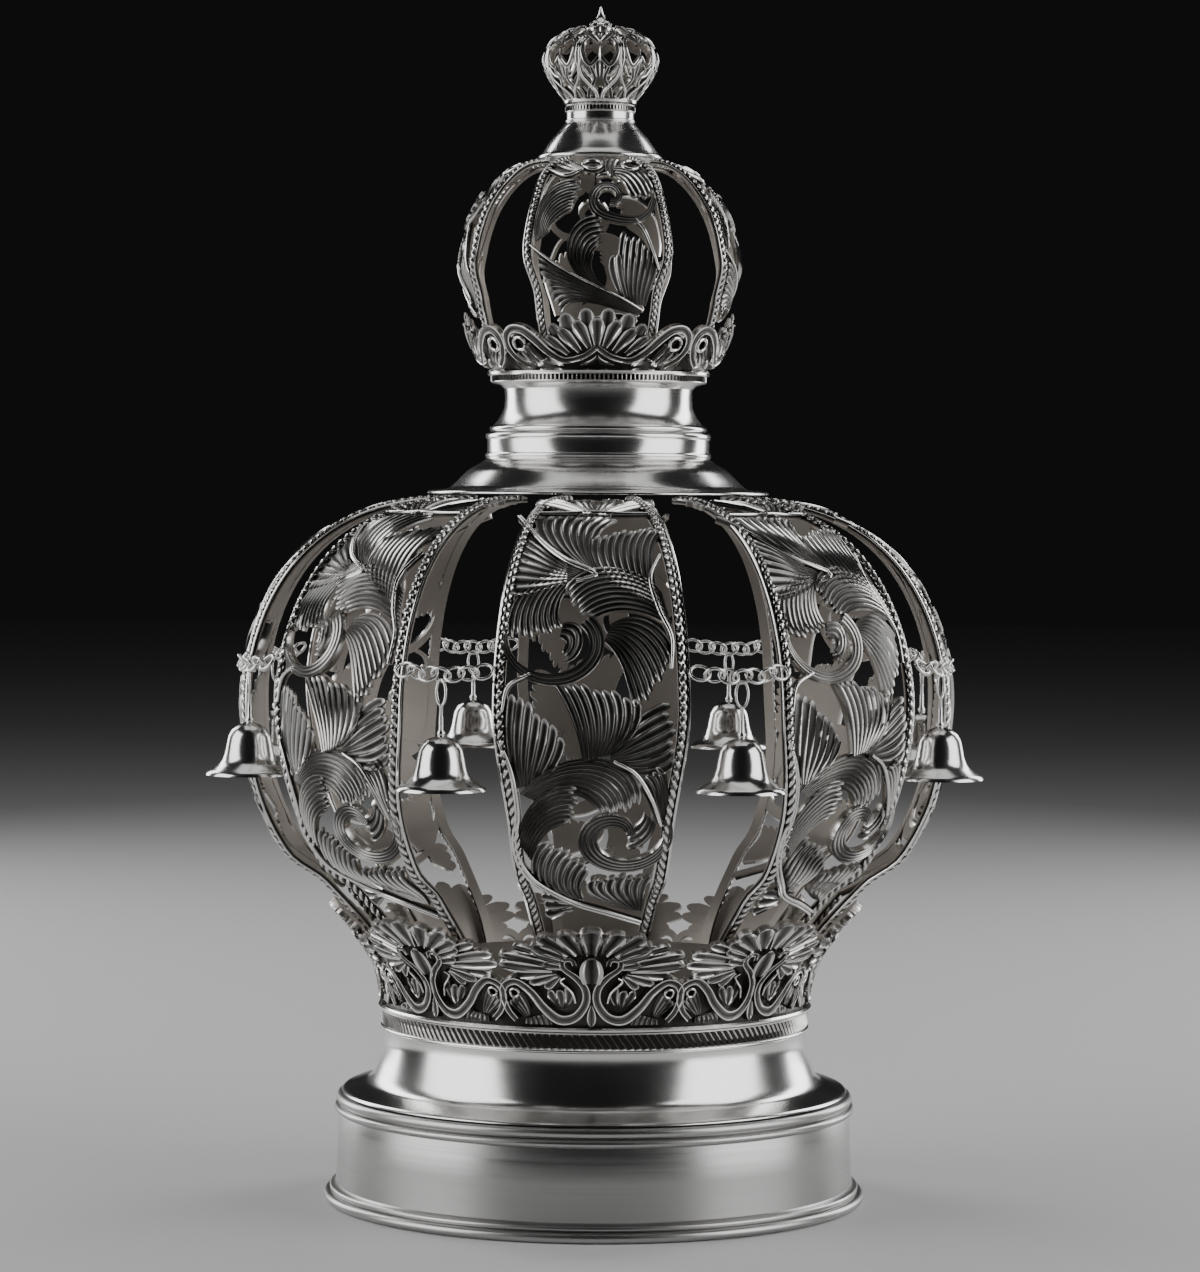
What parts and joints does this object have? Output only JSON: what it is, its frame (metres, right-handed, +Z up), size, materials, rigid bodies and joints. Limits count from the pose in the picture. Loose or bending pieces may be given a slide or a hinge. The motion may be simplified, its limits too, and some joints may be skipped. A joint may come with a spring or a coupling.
{
  "type": "torah crown",
  "caption": "Silver Torah crown: hollow foot, pierced acanthus ribs in two tiers, palmette galleries, bells on short chains and a pierced bud.",
  "frame": {"origin": "centre of the foot's underside", "axes": "+Z up to the tip of the finial; the -Y side is the front, with a rib at its middle"},
  "size_m": [0.251, 0.251, 0.4],
  "materials": {
    "satin_silver": "satin silver, faintly brushed around",
    "polished_silver": "mirror-polished silver",
    "cast_silver": "chased silver, bright ridges over darkened grooves",
    "chain_silver": "drawn silver wire, slightly darkened",
    "matte_silver": "unpolished warm grey silver"
  },
  "bodies": {
    "root": {"foot_band": "satin_silver", "base_cove": "polished_silver", "inner_plate": "matte_silver", "lower_gallery": "cast_silver", "shoulder_cap": "polished_silver", "neck_collar": "polished_silver", "upper_gallery": "cast_silver", "dome_cap": "polished_silver", "finial_bud": "cast_silver", "finial_spire": "polished_silver", "rib_1": "cast_silver", "rib_2": "cast_silver", "rib_3": "cast_silver", "rib_4": "cast_silver", "rib_5": "cast_silver", "rib_6": "cast_silver", "rib_7": "cast_silver", "rib_8": "cast_silver", "small_rib_1": "cast_silver", "small_rib_2": "cast_silver", "small_rib_3": "cast_silver", "small_rib_4": "cast_silver", "chain_1": "chain_silver", "chain_2": "chain_silver", "chain_3": "chain_silver", "chain_4": "chain_silver", "chain_5": "chain_silver", "chain_6": "chain_silver", "chain_7": "chain_silver", "chain_8": "chain_silver", "bell_1": "polished_silver", "bell_2": "polished_silver", "bell_3": "polished_silver", "bell_4": "polished_silver", "bell_5": "polished_silver", "bell_6": "polished_silver", "bell_7": "polished_silver", "bell_8": "polished_silver"}
  },
  "joints": []
}
